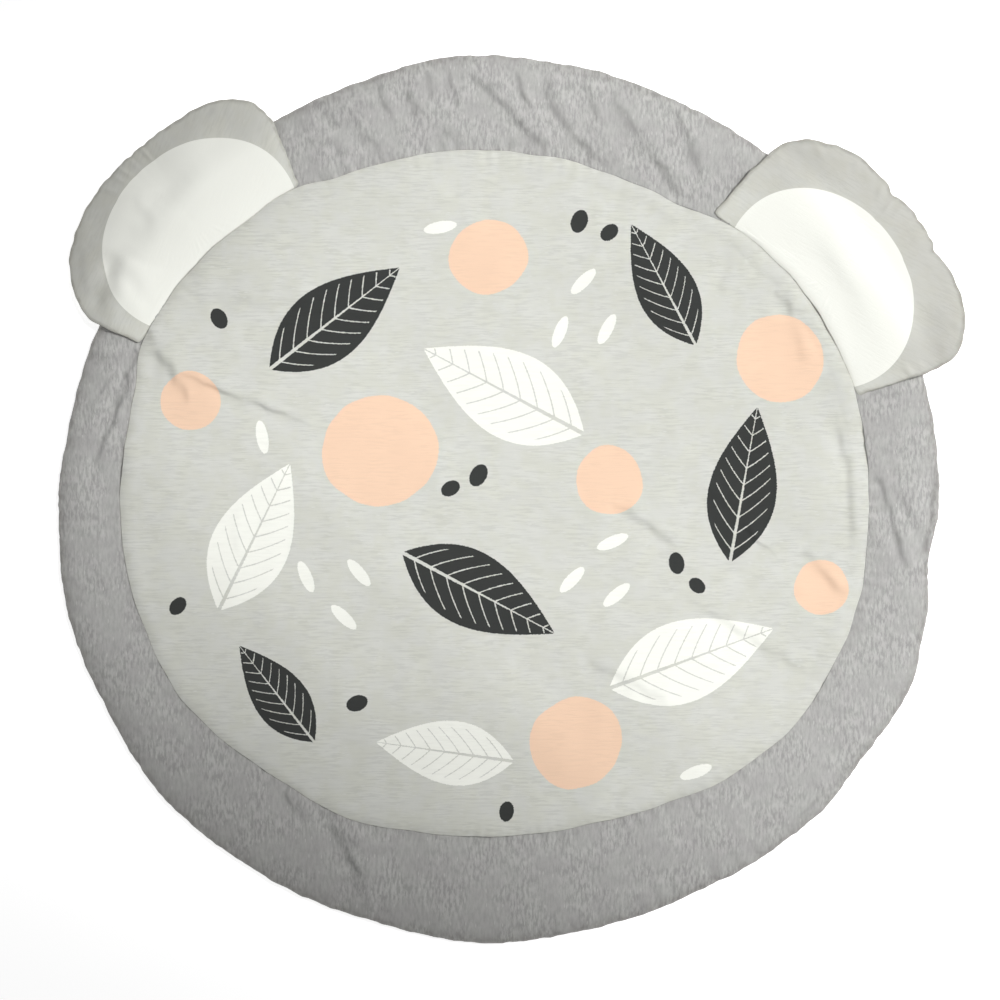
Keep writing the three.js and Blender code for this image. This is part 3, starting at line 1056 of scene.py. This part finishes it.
class PlayMatSizes(bpy.types.PropertyGroup):
    """Sizes of the mat's pieces."""
    height: length_property("Height", "Thickness of the filled round", 15)
    crown: length_property("Crown", "Extra height in the middle", 2)
    rim_seam: length_property("Rim seam", "Height of the rim seam", 5)
    rim_roll: length_property("Rim roll", "Width over which the front rolls down", 32)
    under_roll: length_property("Under roll", "Width over which the back rises", 13)
    seam_dip: length_property("Seam dip", "Depth of the dip along the panel's seam", 1.2)
    dip_on_panel: length_property("Dip on the panel", "Width of the dip inside the seam", 5)
    dip_on_border: length_property("Dip on the border", "Width of the dip outside the seam", 20)
    panel_cloth: length_property("Panel cloth", "Thickness of the panel's cloth", 2)
    seat_gap: length_property("Seat gap", "Room below the panel's cloth", 0.8)
    ear_seam: length_property("Ear seam", "Thickness of an ear's sewn edge", 2.2)
    ear_lift: length_property("Ear edge lift", "How far an ear's edge lifts", 4)
    ear_shoulder: length_property("Ear shoulder", "Where an ear starts to slope, inside the rim", 14)
    ear_gap: length_property("Ear gap", "Gap between an ear and what it lies on", 0.8)
    ear_tip: length_property("Ear tip", "Height of an ear's tip over the floor", 0.6)
    ear_pressure: bpy.props.FloatProperty(
        name="Ear pressure", description="Pressure that fills the ears", default=4.0)
    ear_frames: count_property("Ear frames", "Frames over which the ears fill", 20)
    round_steps: count_property("Round steps", "Steps round the mat", 800)
    panel_cells: count_property("Panel cells", "Cells across the panel", 184)
    ear_cells: count_property("Ear cells", "Cells across an ear", 66)


class PlayMatColours(bpy.types.PropertyGroup):
    """Colours of the cloths and inks."""
    border: colour_property("Border", "Grey melange of the border and back", linear(174, 174, 171))
    panel: colour_property("Panel", "Pale melange of the panel", linear(205, 206, 200))
    ear: colour_property("Ear", "Pale cloth of the ears", linear(208, 209, 202))
    ink_white: colour_property("White ink", "Warm white of the print", linear(243, 244, 236))
    ink_peach: colour_property("Peach ink", "Peach of the print", linear(239, 204, 176))
    ink_charcoal: colour_property("Charcoal ink", "Charcoal of the print", linear(45, 47, 46))
    floor: colour_property("Floor", "Pale floor", linear(250, 250, 250))


# Operators

def settle(piece, node):
    """Hangs the piece on the root body and hides the CAD part that it stands for."""
    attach(piece, "root")
    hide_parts(node)


class PLAYMAT_OT_round(bpy.types.Operator):
    """Makes the padded round with its grey border and back"""
    bl_idname = "playmat.round"
    bl_label = "Padded round"

    def execute(self, context):
        scene = context.scene
        piece = make_round(scene.play_mat_sizes, border_material(scene.play_mat_colours))
        settle(piece, "mat_body")
        return {"FINISHED"}


class PLAYMAT_OT_panel(bpy.types.Operator):
    """Makes the printed panel that is sewn to the front"""
    bl_idname = "playmat.panel"
    bl_label = "Printed panel"

    def execute(self, context):
        scene = context.scene
        piece = make_panel(scene.play_mat_sizes, panel_material(scene.play_mat_colours))
        settle(piece, "centre_panel")
        angles = np.linspace(0, 2 * math.pi, 720, endpoint=False)
        area = float(np.sum(seam_at(angles) ** 2) / 2 * (angles[1] - angles[0]))
        return {"FINISHED"}


class PLAYMAT_OT_ears(bpy.types.Operator):
    """Makes the two stuffed ears"""
    bl_idname = "playmat.ears"
    bl_label = "Stuffed ears"

    def execute(self, context):
        scene = context.scene
        pieces = make_ears(scene.play_mat_sizes, ear_material(scene.play_mat_colours))
        for ear, piece in zip(EARS, pieces):
            settle(piece, ear.node)
        return {"FINISHED"}


VIEW_WIDTH = 1.071
VIEW_MIDDLE = (0.001, 0.0016)
CAMERA_HEIGHT = 2.8
SENSOR_WIDTH_MM = 36
FLOOR_REACH = 30
FLOOR_GAP = 0.2 * MM
FLOOR_GLOW = 0.6
SURROUND_STRENGTH = 0.37

# The window's light looks at its aim from a turn and a rise round it, rolled about that line, in radians.
WINDOW_AIM = Vector((0.27, 0.225, 0))
WINDOW_TURN, WINDOW_RISE, WINDOW_ROLL = 0.47, 0.96, 0.53
WINDOW_DISTANCE = 2.0
WINDOW_SIZE = 1.15
WINDOW_SPREAD = 0.30
WINDOW_WATTS = 4.0


class PLAYMAT_OT_stage(bpy.types.Operator):
    """Makes the floor, the lights and the camera"""
    bl_idname = "playmat.stage"
    bl_label = "Floor, light and camera"

    def execute(self, context):
        scene = context.scene
        material, _, _ = new_material("Pale floor", {
            "Base Color": (*scene.play_mat_colours.floor, 1), "Roughness": 0.9,
            "Emission Color": (1, 1, 1, 1), "Emission Strength": FLOOR_GLOW,
        })
        bm = bmesh.new()
        bmesh.ops.create_grid(bm, x_segments=1, y_segments=1, size=FLOOR_REACH)
        bmesh.ops.translate(bm, verts=bm.verts, vec=(0, 0, -FLOOR_GAP))
        piece_from(bm, "floor", material)

        light = bpy.data.lights.new("window", "AREA")
        light.size = WINDOW_SIZE
        light.energy = WINDOW_WATTS
        light.spread = WINDOW_SPREAD
        flat = math.cos(WINDOW_RISE)
        away = Vector((flat * math.cos(WINDOW_TURN), flat * math.sin(WINDOW_TURN), math.sin(WINDOW_RISE)))
        holder = bpy.data.objects.new("window", light)
        holder.location = WINDOW_AIM + away * WINDOW_DISTANCE
        rolled = Quaternion((0, 0, 1), WINDOW_ROLL)
        holder.rotation_euler = ((-away).to_track_quat("-Z", "Y") @ rolled).to_euler()
        scene.collection.objects.link(holder)

        world = bpy.data.worlds.new("studio")
        world.use_nodes = True
        background = world.node_tree.nodes["Background"]
        background.inputs["Color"].default_value = (1, 1, 1, 1)
        background.inputs["Strength"].default_value = SURROUND_STRENGTH
        scene.world = world
        scene.view_settings.view_transform = "Standard"

        camera = bpy.data.cameras.new("camera")
        camera.sensor_width = SENSOR_WIDTH_MM
        camera.lens = SENSOR_WIDTH_MM * (CAMERA_HEIGHT - scene.play_mat_sizes.height) / VIEW_WIDTH
        holder = bpy.data.objects.new("camera", camera)
        holder.location = (*VIEW_MIDDLE, CAMERA_HEIGHT)
        scene.collection.objects.link(holder)
        scene.camera = holder
        return {"FINISHED"}


class PLAYMAT_PT_sidebar(bpy.types.Panel):
    """Lists the mat's pieces and settings"""
    bl_idname = "PLAYMAT_PT_sidebar"
    bl_label = "Play mat"
    bl_space_type = "VIEW_3D"
    bl_region_type = "UI"
    bl_category = "Play mat"

    def draw(self, context):
        for operator in OPERATORS:
            self.layout.operator(operator.bl_idname)
        for settings in (context.scene.play_mat_sizes, context.scene.play_mat_colours):
            box = self.layout.box()
            for name in settings.__annotations__:
                box.prop(settings, name)


OPERATORS = (PLAYMAT_OT_stage, PLAYMAT_OT_round, PLAYMAT_OT_panel, PLAYMAT_OT_ears)
CLASSES = (PlayMatSizes, PlayMatColours, *OPERATORS, PLAYMAT_PT_sidebar)


def register():
    for cls in CLASSES:
        bpy.utils.register_class(cls)
    bpy.types.Scene.play_mat_sizes = bpy.props.PointerProperty(type=PlayMatSizes)
    bpy.types.Scene.play_mat_colours = bpy.props.PointerProperty(type=PlayMatColours)


def unregister():
    del bpy.types.Scene.play_mat_colours
    del bpy.types.Scene.play_mat_sizes
    for cls in reversed(CLASSES):
        bpy.utils.unregister_class(cls)


def main():
    register()
    bpy.ops.playmat.stage()
    bpy.ops.playmat.round()
    bpy.ops.playmat.panel()
    bpy.ops.playmat.ears()


if __name__ == "__main__":
    main()
